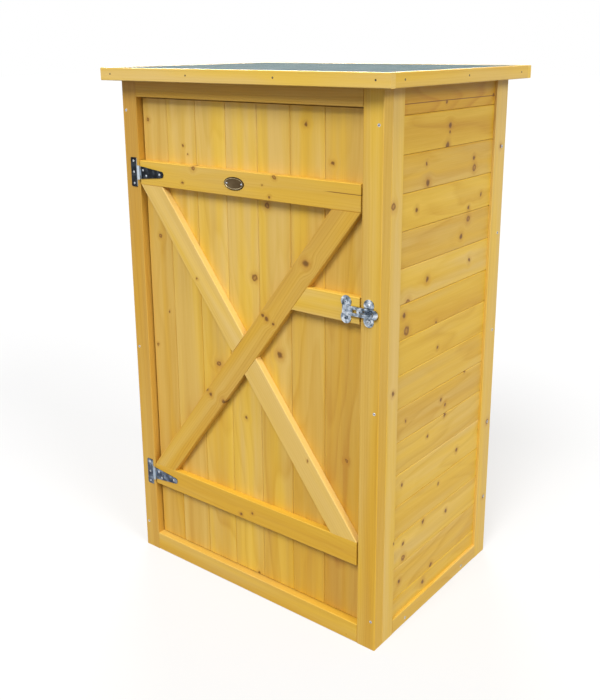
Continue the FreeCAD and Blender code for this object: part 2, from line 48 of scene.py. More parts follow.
MM = 0.001
WELD_DISTANCE = 0.001 * MM
X, Y, Z = Vector((1, 0, 0)), Vector((0, 1, 0)), Vector((0, 0, 1))
WHITE = (1, 1, 1, 1)

# The photograph's camera: its focal length and the height of its axis in pixels, its place, and its turns
# in degrees
PHOTO_HEIGHT = 700
FOCAL_PIXELS = 892.9
AXIS_PIXEL_Y = 288.0
CAMERA_PLACE = (1.2091, -1.5897, 1.2188)
CAMERA_AZIMUTH = 38.242
CAMERA_PITCH = -15.339
CAMERA_ROLL = 0.354

# Three soft suns, an even sky, and a floor that light and the camera meet in different tones
SUN_SPREAD = 26.0
SUNS = (
    ("key", (0.6, -3.2, 3.9), 2.55),
    ("side", (4.2, -0.7, 2.5), 1.62),
    ("back", (-2.6, 3.0, 0.9), 2.2))
SKY_STRENGTH = 0.4
FLOOR_REACH = 30.0
FLOOR_BOUNCE = (0.2, 0.2, 0.2, 1)
FLOOR_SEEN = (0.34, 0.34, 0.34, 1)
FLOOR_GLOW = 0.54

# Glazed softwood from pale to dark, its two tints, its knots and its cracks
WOOD_TONES = (
    (0.00, (240, 213, 132)), (0.30, (226, 194, 98)), (0.50, (214, 175, 74)),
    (0.70, (198, 150, 56)), (1.00, (160, 105, 38)))
AMBER_TINT = (255, 241, 174)
TAN_TINT = (248, 239, 242)
HALO_COLOUR = (182, 122, 42)
PALE_KNOT_COLOUR = (156, 104, 40)
DARK_KNOT_COLOUR = (94, 56, 16)
CRACK_COLOUR = (120, 72, 24)
WOOD_GLOSS = 0.35
WOOD_ROUGHNESS = 0.36
WOOD_ROUGHNESS_SPREAD = 0.25
WOOD_RELIEF = 0.12 * MM
RING_RELIEF, FIBRE_RELIEF, KNOT_RELIEF = -0.5, 0.5, -0.6

# Growth rings of a log whose heart lies behind the board, a little aslant. A ring darkens towards its end.
RING_WIDTH = 5.2 * MM
RING_DARKNESS = ((0.0, 0.0), (0.5, 0.2), (0.84, 1.0), (1.0, 0.0))
RING_WAVE = 30 * MM
FAINTEST_RING = 0.15
HEART_DEPTH = 16 * MM
HEART_DEPTH_SPREAD = 50 * MM
HEART_ASIDE_SPREAD = 70 * MM
HEART_SLANT_SPREAD = 0.09

# Scales of the noise per metre along the grain, across it, and through it or from one board to the next
WAVE_SCALES = (1.7, 10.0, 10.0)
WAVE_BOARD_STEP = 3.7
BAND_SCALES = (0.8, 34.0, 5.1)
BAND_DETAIL = 3.0
HUE_SCALES = (2.2, 26.0, 9.7)
FIBRE_SCALES = (12.0, 900.0, 900.0)

# How much each part darkens the wood, and the place along it where the painted shade that darkens the lower
# wood changes nothing
BAND_WEIGHT = 0.6
RING_WEIGHT = 0.22
RING_MEAN = 0.25
FIBRE_WEIGHT = 0.2
SHADE_LEAN_CENTRE = 0.6

# How far boards differ in tone and gold, how much gold and hue count for the tint, and how far the random
# seeds of two pieces lie apart
TONE_SPREAD = 0.14
GOLD_SPREAD = 0.3
GOLD_WEIGHT = 0.45
GREYISH_HUES = (0.3, 0.7)
ROW_SEEDS = 50.0
PIECE_SEEDS = 40.0

# A knot in shares of its radius: its pale middle, its core, its edge, its halo and the grain that it bends
KNOT_MIDDLE, KNOT_MIDDLE_LIGHT = (0.2, 0.8), 0.55
KNOT_CORE, PALE_KNOT_CORE_GAIN = 0.25, 0.2
KNOT_EDGE = 1.2
KNOT_HALO, HALO_WEIGHT = (0.5, 2.6), 0.42
KNOT_BEND, KNOT_BEND_STRENGTH = (0.6, 4.5), 0.85

# How strongly a knot is drawn, where its darkest colour sets in, how ragged its outline is, a radius too
# small to see, and a shift that keeps places in a colour ramp above zero
KNOT_FADE, KNOT_WEIGHT = 0.7, 0.82
DARK_KNOT_FROM = 0.35
KNOT_RAG_SCALE, KNOT_RAG_DETAIL, KNOT_RAG_REACH = 95.0, 1.5, 8 * MM
NO_RADIUS = 0.02 * MM
RAMP_SHIFT = 1.0

# Stray knots: the cells that they lie in, the step to another board's cells, and the largest radius
STRAY_CELL_LENGTH, STRAY_CELL_WIDTH = 310 * MM, 74 * MM
STRAY_BOARD_STEP = 7.3
STRAY_LARGEST = 8.5 * MM

# Lines between boards, and fine drying cracks: from, to and height in millimetres
JOINT_WIDTH, JOINT_CORE, JOINT_DARKNESS = 1.5 * MM, 0.2 * MM, 0.34
CRACK_WIDTH, CRACK_CORE, CRACK_DARKNESS = 1.3 * MM, 0.3 * MM, 0.9
CRACK_START_FADE, CRACK_END_FADE, CRACK_WAVE = 30 * MM, 1 * MM, 6 * MM
LEDGE_CRACKS = ((206, 296, 949.5),)
RIGHT_WALL_CRACKS = ((-190, 200, 1110),)

# Boards of the door from left to right and of the right wall from bottom to top: 0 pale to 1 dark, and
# 0 greyish to 1 golden
DOOR_TONES = (
    (0.40, 0.2), (0.36, 0.3), (0.30, 0.5), (0.26, 0.5), (0.36, 0.4), (0.46, 0.3), (0.50, 0.3))
# The right wall's top board, last in the list, is dark partly from its wood and partly from painted shade of
# the fascia above it.
WALL_TONES = (
    (0.36, 0.7), (0.42, 0.5), (0.30, 0.6), (0.40, 0.7), (0.30, 0.5), (0.36, 0.7), (0.44, 0.4), (0.32, 0.6),
    (0.34, 0.9), (0.42, 0.9), (0.28, 0.6), (0.44, 0.3), (0.32, 0.8), (0.40, 0.5), (0.40, 1.0), (0.52, 1.0))

# Knots in millimetres: place along X or Y, height, radius, and 1 where the middle is pale
DOOR_KNOTS = (
    (-280, 1059, 5, 1), (-258, 801, 6, 1), (58, 905, 7, 1), (158, 1070, 5, 0), (221, 1001, 5, 0),
    (21, 748, 8, 1), (-89, 533, 7, 1), (87, 591, 9, 0), (-24, 512, 8, 0), (-12, 424, 5, 0),
    (-241, 627, 3, 0), (-284, 539, 4, 1), (-20, 229, 4, 0), (18, 48, 5, 0), (258, 401, 4, 1),
    (-175, 1009, 3, 0), (-160, 990, 2, 0))
LEDGE_KNOTS = (
    (78, 925, 4, 0), (90, 966, 5, 1), (59, 947, 2, 0), (-165, 932, 4, 0), (-132, 966, 6, 1),
    (-20, 192, 5, 0), (14, 205, 4, 0), (-107, 179, 3, 0))
LONG_BRACE_KNOTS = (
    (168, 803, 9, 0), (55, 676, 5, 0), (65, 670, 6, 0), (83, 663, 4, 0), (-114, 472, 6, 0),
    (-103, 462, 6, 0), (-64, 454, 7, 0))
HALF_BRACE_KNOTS = ((-132, 725, 3, 0), (170, 380, 3, 1))
RIGHT_WALL_KNOTS = (
    (-17, 1106, 4, 0), (184, 1110, 5, 0), (1, 1060, 7, 0), (1, 1046, 4, 0), (-7, 1021, 9, 0),
    (-87, 993, 5, 0), (-80, 956, 9, 0), (108, 986, 6, 0), (111, 965, 8, 1), (147, 903, 5, 0),
    (-119, 909, 6, 0), (93, 881, 6, 0), (94, 858, 8, 1), (65, 825, 7, 0), (106, 765, 6, 0),
    (-70, 760, 7, 0), (-143, 728, 9, 1), (-155, 704, 7, 0), (-145, 670, 11, 1), (-28, 659, 4, 0),
    (-18, 600, 5, 0), (109, 509, 4, 1), (5, 476, 5, 0), (24, 458, 5, 0), (25, 434, 6, 0),
    (197, 394, 6, 0), (194, 340, 6, 0), (-139, 476, 4, 1), (-48, 410, 5, 0), (86, 326, 6, 0),
    (-147, 336, 5, 0), (7, 275, 4, 1), (47, 191, 6, 0), (-55, 210, 6, 0), (-137, 195, 5, 0),
    (-134, 159, 8, 1), (-14, 82, 7, 0), (-148, 109, 6, 0), (-47, 56, 7, 0))
POST_KNOTS = (
    (-212, 928, 8, 1), (-199, 556, 6, 0), (-181, 219, 4, 0), (218, 1000, 6, 0), (223, 350, 7, 0),
    (222, 153, 5, 0))

# Roofing felt from dark to pale, its granules, its streaks along and across the roll, and its patches
FELT_TONES = ((0.0, (55, 76, 80)), (0.45, (89, 111, 113)), (0.8, (115, 133, 132)), (1.0, (152, 165, 160)))
FELT_BASE_TONE = 0.22
GRANULE_SCALE, GRANULE_WEIGHT = 750.0, 0.5
STREAK_SCALES, STREAK_WEIGHT = (1.2, 26.0), 0.55
PATCH_SCALE, PATCH_WEIGHT = 9.0, 0.35
FELT_DETAIL = 4.0
FELT_ROUGHNESS = 0.92
FELT_GLOSS = 0.15
FELT_RELIEF = 0.35 * MM

# Metals: tones from dark to bright, roughness, and the scale of the cloudy patches
METALS = {
    "dark_zinc": (((26, 28, 33), (38, 42, 48), (66, 72, 80)), 0.42, 60.0),
    "blue_zinc": (((54, 60, 74), (88, 98, 114), (146, 158, 174)), 0.4, 80.0),
    "bright_zinc": (((76, 88, 98), (156, 168, 182), (226, 232, 238)), 0.34, 130.0),
    "screw_zinc": (((150, 156, 166), (196, 200, 206), (224, 228, 232)), 0.3, 300.0),
    "dark_bronze": (((34, 26, 20), (52, 40, 30), (76, 62, 48)), 0.45, 220.0),
    "worn_bronze": (((84, 68, 46), (94, 78, 55), (106, 90, 66)), 0.5, 40.0),
    "bright_bronze": (((132, 118, 88), (168, 152, 116), (196, 182, 146)), 0.4, 220.0),
    "screw_recess": (((46, 50, 58), (70, 76, 86), (98, 104, 114)), 0.5, 400.0),
    "nail_steel": (((60, 50, 40), (86, 74, 62), (120, 108, 94)), 0.45, 300.0)}
METAL_STOPS = (0.34, 0.5, 0.66)
CLOUD_DETAIL = 4.0
CLOUD_ROUGHNESS, CLOUD_RELIEF = 0.25, 0.6
SCRATCH_SCALES = (300.0, 300.0, 2600.0)
SCRATCH_ROUGHNESS = 0.16
METAL_RELIEF = 0.03 * MM

# Where a painted highlight runs along the hinges, from the pin's axis, and its colours on the upper and lower
# hinge
HIGHLIGHT_FROM, HIGHLIGHT_TO, HIGHLIGHT_FADE = -9.5 * MM, 5.5 * MM, 0.8 * MM
UPPER_HINGE_HIGHLIGHT = (196, 206, 216)
LOWER_HINGE_HIGHLIGHT = (168, 182, 198)

# Screw heads, flat or domed, as rings of radius and height from the rim to the top. Radii are shares of the
# head's, and heights are millimetres or shares of the dome's. A cross is an arm's length and half its width,
# and each is turned by so many radians from the last.
SCREW_SEGMENTS = 24
SCREW_TURN = 2.4
FLAT_RINGS = ((0.6, -1.5), (1.0, -0.1), (0.96, 0.04))
FLAT_CROSS, FLAT_CROSS_DEPTH = (0.55, 0.13), 1.2 * MM
DOME_RINGS = ((1.0, 0.0), (0.97, 0.4), (0.86, 0.72), (0.68, 0.93), (0.55, 1.0))
DOME_HEIGHT = 0.42
DOME_CROSS, DOME_CROSS_DEPTH = (0.46, 0.11), 0.9
CROSS_TAPER = (0.62, 0.7)

# Screws on the door's back: rings in millimetres, and how far a board's two stand apart and above another
DOOR_SCREW_RINGS = ((2.4, -1.0), (3.4, -0.1), (3.2, 0.04))
DOOR_SCREW_CROSS, DOOR_SCREW_CROSS_DEPTH = (1.9 * MM, 0.45 * MM), 1.0 * MM
DOOR_SCREW_TURN = 1.7
DOOR_SCREWS_APART, DOOR_SCREWS_RISE = 38.4 * MM, 24 * MM

# Nails of the fascia: rings as for flat screws, the outward side and number of nails of each board, and their
# places from its ends and its lower edge
NAIL_SEGMENTS = 12
NAIL_RADIUS = 2.2 * MM
NAIL_RINGS = ((0.9, -0.6), (1.0, -0.05), (0.9, 0.05), (0.5, 0.08))
FASCIA_NAILS = (
    ("fascia_front", -Y, 4), ("fascia_back", Y, 4), ("fascia_right", X, 3), ("fascia_left", -X, 3))
FASCIA_NAIL_ENDS = 31 * MM
FASCIA_NAIL_RISE = 14 * MM

# The oval plate: its rim, the rim's rounding and where that starts in shares of the thickness, the bright
# line inside it, the sunk field, and the two pins with their rings in millimetres
OVAL_SEGMENTS = 64
OVAL_RIM = 2.4 * MM
OVAL_ROUNDING = 0.5 * MM
OVAL_EDGE = 0.6
OVAL_LINE = 0.9 * MM
OVAL_FIELD_DEPTH = 0.5 * MM
OVAL_FIELD_BORDER = 2 * MM
OVAL_PIN_INSET = 4.2 * MM
PIN_SEGMENTS = 16
PIN_RINGS = ((1.7, -0.3), (1.7, 0.1), (1.3, 0.4), (0.6, 0.5))


def colour(rgb):
    """A screen colour as the linear colour that the shaders use."""
    parts = [c / 255 for c in rgb]
    return [p / 12.92 if p <= 0.04045 else ((p + 0.055) / 1.055) ** 2.4 for p in parts] + [1.0]


class Graph:
    """A node tree that is written with short calls."""

    def __init__(self, tree):
        self.tree = tree

    def node(self, kind, *values, **settings):
        """A node with its settings. The values fill its first inputs in order."""
        made = self.tree.nodes.new(kind)
        for key, value in settings.items():
            setattr(made, key, value)
        for socket, value in zip(made.inputs, values):
            self.put(socket, value)
        return made

    def put(self, socket, value):
        """Sets an input to a number or a colour, or links it to another node's output."""
        if isinstance(value, bpy.types.NodeSocket):
            self.tree.links.new(value, socket)
        else:
            socket.default_value = value

    def fill(self, made, **values):
        """Fills a node's inputs by name, with _ for a space."""
        for key, value in values.items():
            self.put(made.inputs[key.replace("_", " ")], value)

    def maths(self, operation, *values):
        return self.node("ShaderNodeMath", *values, operation=operation).outputs[0]

    def total(self, *values):
        answer = values[0]
        for value in values[1:]:
            answer = self.maths("ADD", answer, value)
        return answer

    def scaled(self, value, factor, centre=0.0):
        return self.maths("MULTIPLY", self.maths("SUBTRACT", value, centre), factor)

    def hypotenuse(self, first, second):
        squares = self.maths("MULTIPLY", first, first), self.maths("MULTIPLY", second, second)
        return self.maths("SQRT", self.maths("ADD", *squares))

    def smooth(self, value, start, end, low=0.0, high=1.0):
        """Goes smoothly from low to high as the value goes from start to end."""
        return self.node("ShaderNodeMapRange", value, start, end, low, high,
                         interpolation_type="SMOOTHSTEP").outputs[0]

    def vector(self, x, y, z=0.0):
        return self.node("ShaderNodeCombineXYZ", x, y, z).outputs[0]

    def vectors(self, operation, first, second):
        return self.node("ShaderNodeVectorMath", first, second, operation=operation).outputs[0]

    def dot(self, vector, axis):
        return self.node("ShaderNodeVectorMath", vector, axis, operation="DOT_PRODUCT").outputs["Value"]

    def stretched(self, parts, scales):
        """A vector of parts that are each scaled."""
        return self.vector(*(self.scaled(part, scale) for part, scale in zip(parts, scales)))

    def split(self, value):
        return self.node("ShaderNodeSeparateColor", value).outputs[:3]

    def noise(self, vector, scale=1.0, detail=2.0):
        """The outputs of a noise, Fac and Color."""
        made = self.node("ShaderNodeTexNoise")
        self.fill(made, Vector=vector, Scale=scale, Detail=detail)
        return made.outputs

    def chance(self, number):
        """Three random values that keep to a number."""
        made = self.node("ShaderNodeTexWhiteNoise", noise_dimensions="1D")
        self.fill(made, W=number)
        return self.split(made.outputs["Color"])

    def ramp(self, factor, stops, interpolation="LINEAR"):
        made = self.node("ShaderNodeValToRGB", factor)
        made.color_ramp.interpolation = interpolation
        elements = made.color_ramp.elements
        while len(elements) < len(stops):
            elements.new(0.5)
        for element, (position, value) in zip(elements, stops):
            element.position = position
            element.color = value
        return made.outputs["Color"]

    def tones(self, factor, stops):
        """A ramp through screen colours."""
        return self.ramp(factor, [(position, colour(rgb)) for position, rgb in stops])

    def mix(self, factor, first, second, blend="MIX"):
        made = self.node("ShaderNodeMix", data_type="RGBA", blend_type=blend)
        self.fill(made, Factor=factor, A=first, B=second)
        return made.outputs["Result"]


class Finish(Graph):
    """A material with one principled shader."""

    def __init__(self, name):
        self.material = bpy.data.materials.new(name)
        self.material.use_nodes = True
        super().__init__(self.material.node_tree)
        self.tree.nodes.clear()
        self.shader = self.node("ShaderNodeBsdfPrincipled")
        self.node("ShaderNodeOutputMaterial", self.shader.outputs[0])

    def place(self):
        return self.node("ShaderNodeTexCoord").outputs["Object"]

    def set(self, **values):
        self.fill(self.shader, **values)

    def bump(self, height, distance):
        made = self.node("ShaderNodeBump")
        self.fill(made, Height=height, Distance=distance, Strength=1.0)
        self.set(Normal=made.outputs[0])


def solids_of(node):
    """Boxes of the separate solids in a CAD node, in the order of its vertices."""
    work = bmesh.new()
    work.from_mesh(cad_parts[node].data)
    bmesh.ops.remove_doubles(work, verts=work.verts, dist=WELD_DISTANCE)
    seen = set()
    boxes = []
    for first in work.verts:
        if first in seen:
            continue
        seen.add(first)
        front = [first]
        group = []
        while front:
            vert = front.pop()
            group.append(vert.co.copy())
            for edge in vert.link_edges:
                other = edge.other_vert(vert)
                if other not in seen:
                    seen.add(other)
                    front.append(other)
        low = Vector([min(p[i] for p in group) for i in range(3)])
        high = Vector([max(p[i] for p in group) for i in range(3)])
        boxes.append((low, high))
    work.free()
    return boxes


def board_row(node, across):
    """Where the first whole board of a CAD node would start, the boards' pitch and their number."""
    starts = sorted(low.dot(across) for low, high in solids_of(node))
    pitch = (starts[-1] - starts[1]) / (len(starts) - 2)
    return starts[1] - pitch, pitch, len(starts)


def knot_group():
    """One knot, added to what comes in: how dark it is, its halo and how far it pushes the grain aside."""
    graph = Graph(bpy.data.node_groups.new("knot", "ShaderNodeTree"))
    sockets = graph.tree.interface
    for name in ("Place", "Centre"):
        sockets.new_socket(name, in_out="INPUT", socket_type="NodeSocketVector")
    for name in ("Radius", "Pale", "Dark", "Halo", "Push"):
        sockets.new_socket(name, in_out="INPUT", socket_type="NodeSocketFloat")
    for name in ("Dark", "Halo", "Push"):
        sockets.new_socket(name, in_out="OUTPUT", socket_type="NodeSocketFloat")
    given = graph.node("NodeGroupInput").outputs

    offset = graph.vectors("SUBTRACT", given["Place"], given["Centre"])
    along, aside, _ = graph.node("ShaderNodeSeparateXYZ", offset).outputs
    share = graph.maths("DIVIDE", graph.hypotenuse(along, aside), given["Radius"])
    light = graph.maths("MULTIPLY", graph.smooth(share, *KNOT_MIDDLE, KNOT_MIDDLE_LIGHT, 0.0), given["Pale"])
    core = graph.maths("MULTIPLY_ADD", given["Pale"], PALE_KNOT_CORE_GAIN, KNOT_CORE)
    dark = graph.maths("MULTIPLY", graph.smooth(share, core, KNOT_EDGE, 1.0, 0.0),
                       graph.maths("SUBTRACT", 1.0, light))
    halo = graph.smooth(share, *KNOT_HALO, 1.0, 0.0)
    push = graph.maths("MULTIPLY", aside, graph.smooth(share, *KNOT_BEND, KNOT_BEND_STRENGTH, 0.0))
    graph.node("NodeGroupOutput", graph.maths("MAXIMUM", dark, given["Dark"]),
               graph.maths("MAXIMUM", halo, given["Halo"]), graph.maths("ADD", push, given["Push"]))
    return graph.tree


KNOT = knot_group()


class Wood(Finish):
    """Glazed softwood. The grain runs along, and the boards of a row lie side by side across."""

    def __init__(self, name, along, across, row, shuffle):
        super().__init__(name)
        self.along, self.across, self.row = along, across, row
        self.spot = self.place()
        self.run, self.width, self.depth = (
            self.dot(self.spot, axis) for axis in (along, across, along.cross(across)))
        piece = self.node("ShaderNodeObjectInfo").outputs["Random"]
        if row:
            first, pitch, count = row
            boards = self.maths("DIVIDE", self.maths("SUBTRACT", self.width, first), pitch)
            number = self.maths("MINIMUM", self.maths("FLOOR", boards), count - 1.0)
            middle = self.maths("MULTIPLY_ADD", number, pitch, first + pitch / 2)
            self.local = self.maths("SUBTRACT", self.width, middle)
            self.share = self.maths("DIVIDE", self.maths("ADD", number, 0.5), float(count))
            self.seed = self.total(number, shuffle, self.scaled(piece, ROW_SEEDS))
        else:
            self.local = self.width
            self.seed = self.scaled(piece, PIECE_SEEDS)
        self.luck = self.chance(self.seed)
        self.knots = (0.0, 0.0, 0.0)

    def add_knots(self, listed, stray):
        """Listed knots and, where the photograph shows no face, stray ones. Their outlines are ragged."""
        rag = self.noise(self.spot, KNOT_RAG_SCALE, KNOT_RAG_DETAIL)["Color"]
        rag_run, rag_width, _ = self.split(rag)
        run = self.maths("ADD", self.run, self.scaled(rag_run, KNOT_RAG_REACH, 0.5))
        width = self.maths("ADD", self.width, self.scaled(rag_width, KNOT_RAG_REACH, 0.5))
        here = self.vector(run, width)
        flat = Y if self.along.y or self.across.y else X
        spots = []
        for sideways, height, radius, pale in listed:
            spot = (flat * sideways + Z * height) * MM
            spots.append((spot.dot(self.along), spot.dot(self.across), radius * MM, float(pale)))
        if self.row:
            self.add_row_knots(here, spots)
        else:
            for run_at, width_at, radius, pale in spots:
                self.add_knot(here, (run_at, width_at, 0.0), radius, pale)
        if stray:
            self.add_stray_knots(run, width)

    def add_knot(self, here, centre, radius, pale):
        made = self.node("ShaderNodeGroup", here, centre, radius, pale, *self.knots, node_tree=KNOT)
        self.knots = made.outputs[:3]

    def add_row_knots(self, here, spots):
        """Ramps across a row give each board its first knot, then its second and so on."""
        first, pitch, count = self.row
        boards = [[] for _ in range(count)]
        for spot in spots:
            boards[min(int((spot[1] - first) // pitch), count - 1)].append(spot)
        for turn in range(max(len(board) for board in boards)):
            places, sizes = [], []
            for number, board in enumerate(boards):
                run, width, radius, pale = board[turn] if turn < len(board) else (0.0, 0.0, NO_RADIUS, 0.0)
                places.append((number / count, (run + RAMP_SHIFT, width + RAMP_SHIFT, 0.0, 1.0)))
                sizes.append((number / count, (radius, pale, 0.0, 1.0)))
            shifted = self.ramp(self.share, places, "CONSTANT")
            centre = self.vectors("SUBTRACT", shifted, (RAMP_SHIFT, RAMP_SHIFT, 0.0))
            radius, pale, _ = self.split(self.ramp(self.share, sizes, "CONSTANT"))
            self.add_knot(here, centre, radius, pale)

    def add_stray_knots(self, run, width):
        """At most one knot in each cell of a loose grid. In half of the cells there is none."""
        shifted = self.maths("ADD", self.scaled(run, 1 / STRAY_CELL_LENGTH),
                             self.scaled(self.seed, STRAY_BOARD_STEP))
        cells = self.node("ShaderNodeTexVoronoi", voronoi_dimensions="2D")
        self.fill(cells, Scale=1.0, Vector=self.vector(shifted, self.scaled(width, 1 / STRAY_CELL_WIDTH)))
        here = self.vector(self.scaled(shifted, STRAY_CELL_LENGTH), width)
        cell = (STRAY_CELL_LENGTH, STRAY_CELL_WIDTH, 0.0)
        centre = self.vectors("MULTIPLY", cells.outputs["Position"], cell)
        size, kind, _ = self.split(cells.outputs["Color"])
        radius = self.maths("MAXIMUM", self.scaled(size, 2 * STRAY_LARGEST, 0.5), NO_RADIUS)
        self.add_knot(here, centre, radius, self.maths("ROUND", kind))

    def growth_rings(self):
        """How dark the growth rings are. The place aside, which the knots push, and the wave are kept for the
        other grain and the cracks."""
        luck_a, luck_b, luck_c = self.luck
        self.aside = self.total(self.local, self.scaled(luck_a, HEART_ASIDE_SPREAD, 0.5),
                                self.scaled(self.knots[2], -1.0))
        slant = self.maths("MULTIPLY", self.run, self.scaled(luck_b, HEART_SLANT_SPREAD, 0.5))
        behind = self.total(self.depth, HEART_DEPTH, self.scaled(luck_c, HEART_DEPTH_SPREAD), slant)
        along, across, through = WAVE_SCALES
        self.wave = self.noise(self.vector(
            self.scaled(self.run, along), self.scaled(self.width, across),
            self.total(self.scaled(self.depth, through), self.scaled(self.seed, WAVE_BOARD_STEP))))["Fac"]
        log = self.hypotenuse(self.aside, behind)
        years = self.scaled(self.maths("ADD", log, self.scaled(self.wave, RING_WAVE, 0.5)), 1 / RING_WIDTH)
        late = self.ramp(self.maths("FRACT", years), [
            (position, (grey, grey, grey, 1.0)) for position, grey in RING_DARKNESS])
        strength = self.chance(self.maths("FLOOR", years))[0]
        strength = self.maths("MULTIPLY_ADD", strength, 1 - FAINTEST_RING, FAINTEST_RING)
        return self.maths("MULTIPLY", late, strength)

    def streaks(self, scales, third, detail=2.0):
        """Noise that is drawn out along the grain. The third axis is the depth, or the seed of the board."""
        return self.noise(self.stretched((self.run, self.aside, third), scales), 1.0, detail)["Fac"]

    def board_looks(self, tones, tone, gold):
        """Tone and gold of each board, as listed or by chance around the given ones."""
        if tones:
            count = self.row[2]
            stops = [(k / count, (*tones[k % len(tones)], 0.0, 1.0)) for k in range(count)]
            return self.split(self.ramp(self.share, stops, "CONSTANT"))[:2]
        return (self.maths("MULTIPLY_ADD", self.luck[1], TONE_SPREAD, tone - TONE_SPREAD / 2),
                self.maths("MULTIPLY_ADD", self.luck[2], GOLD_SPREAD, gold - GOLD_SPREAD / 2))

    def draw_knots(self, tint):
        dark, halo, _ = self.knots
        darkest = self.smooth(dark, DARK_KNOT_FROM, 1.0)
        knot = self.mix(darkest, colour(PALE_KNOT_COLOUR), colour(DARK_KNOT_COLOUR))
        tint = self.mix(self.scaled(halo, HALO_WEIGHT), tint, colour(HALO_COLOUR))
        return self.mix(self.smooth(dark, 0.0, KNOT_FADE, 0.0, KNOT_WEIGHT), tint, knot)

    def draw_joints(self, tint):
        """A dark line where each board of the row starts."""
        off = self.maths("ABSOLUTE", self.maths("ADD", self.local, self.row[1] / 2))
        line = self.smooth(off, JOINT_WIDTH, JOINT_CORE, 0.0, JOINT_DARKNESS)
        return self.mix(line, tint, colour(CRACK_COLOUR))

    def draw_crack(self, tint, start, end, height):
        """A crack that follows the grain and fades in at its start."""
        level = self.total(self.width, self.scaled(self.wave, CRACK_WAVE, 0.5))
        off = self.maths("ABSOLUTE", self.maths("SUBTRACT", level, height))
        inside = self.maths("MULTIPLY", self.smooth(self.run, start, start + CRACK_START_FADE),
                            self.smooth(self.run, end + CRACK_END_FADE, end))
        line = self.smooth(off, CRACK_WIDTH, CRACK_CORE, 0.0, CRACK_DARKNESS)
        return self.mix(self.maths("MULTIPLY", inside, line), tint, colour(CRACK_COLOUR))


def wood(name, along, across, row=None, tones=(), knots=(), cracks=(), stray=False, tone=0.36, figure=1.0,
         gold=0.5, shade_lean=0.0, shuffle=0.0):
    """A wood material. Tone goes from 0, pale, to 1, dark, and gold from 0, greyish, to 1, golden. Tones
    gives both for each board of a row. Figure is how strong the growth rings are, the lean paints shade by
    making the wood paler with each metre along and darker towards the bottom, and shuffle changes the figure
    of a row's boards."""
    finish = Wood(name, along, across, row, shuffle)
    finish.add_knots(knots, stray)
    rings = finish.growth_rings()
    band = finish.streaks(BAND_SCALES, finish.seed, BAND_DETAIL)
    fibre = finish.streaks(FIBRE_SCALES, finish.depth)
    hue = finish.streaks(HUE_SCALES, finish.seed)
    board_tone, board_gold = finish.board_looks(tones, tone, gold)
    # Painted shade: the lean darkens the wood towards the bottom.
    shade = finish.total(
        board_tone, finish.scaled(finish.run, -shade_lean, SHADE_LEAN_CENTRE), finish.scaled(band, BAND_WEIGHT, 0.5),
        finish.scaled(rings, RING_WEIGHT * figure, RING_MEAN), finish.scaled(fibre, FIBRE_WEIGHT, 0.5))
    tint = finish.tones(shade, WOOD_TONES)
    greyish = finish.smooth(finish.total(hue, finish.scaled(board_gold, -GOLD_WEIGHT, 0.5)), *GREYISH_HUES)
    tint = finish.mix(1.0, tint, finish.mix(greyish, colour(AMBER_TINT), colour(TAN_TINT)), "MULTIPLY")
    tint = finish.draw_knots(tint)
    if row:
        tint = finish.draw_joints(tint)
    for crack in cracks:
        tint = finish.draw_crack(tint, *(size * MM for size in crack))
    roughness = finish.maths("MULTIPLY_ADD", fibre, WOOD_ROUGHNESS_SPREAD, WOOD_ROUGHNESS)
    finish.set(Base_Color=tint, Roughness=roughness, Specular_IOR_Level=WOOD_GLOSS)
    finish.bump(finish.total(
        finish.scaled(rings, RING_RELIEF), finish.scaled(fibre, FIBRE_RELIEF),
        finish.scaled(finish.knots[0], KNOT_RELIEF)), WOOD_RELIEF)
    return finish.material


def dress(material, *nodes):
    """Gives CAD nodes a material."""
    for name in nodes:
        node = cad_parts[name]
        node.data.materials.clear()
        node.data.materials.append(material)


def dress_boards():
    """Every row of boards. The door and the right wall have the photograph's tones and knots."""
    dress(wood("door_boards", Z, X, board_row("door_boards", X), DOOR_TONES, DOOR_KNOTS, figure=0.7,
               shade_lean=0.22, shuffle=-1.0), "door_boards")
    dress(wood("right_wall_boards", Y, Z, board_row("right_wall_boards", Z), WALL_TONES, RIGHT_WALL_KNOTS,
               RIGHT_WALL_CRACKS, figure=0.75), "right_wall_boards")
    for node, along, across in (("left_wall_boards", Y, Z), ("back_wall_boards", X, Z),
                                ("floor_boards", Y, X), ("roof_boards", X, Y)):
        dress(wood(node, along, across, board_row(node, across), stray=True), node)


def dress_door_bars():
    """Ledges, lock rail and braces of the door. The grain of a brace follows its slope."""
    dress(wood("ledges", X, Z, knots=LEDGE_KNOTS, cracks=LEDGE_CRACKS, tone=0.44, figure=0.5, gold=0.7),
          "upper_ledge", "lower_ledge")
    dress(wood("lock_rail", X, Z, tone=0.3, figure=0.5), "lock_rail")
    low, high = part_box("long_brace")
    foot = [vert.co.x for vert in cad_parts["long_brace"].data.vertices if vert.co.z < low.z + MM]
    slope = Vector((high.x - max(foot), 0, high.z - low.z)).normalized()
    dress(wood("long_brace", slope, Y.cross(slope), knots=LONG_BRACE_KNOTS, tone=0.44, figure=0.7, gold=0.6),
          "long_brace")
    slope = Vector((-slope.x, 0, slope.z))
    dress(wood("half_braces", slope, Y.cross(slope), knots=HALF_BRACE_KNOTS, tone=0.2, figure=0.5, gold=0.2),
          "upper_half_brace", "lower_half_brace")


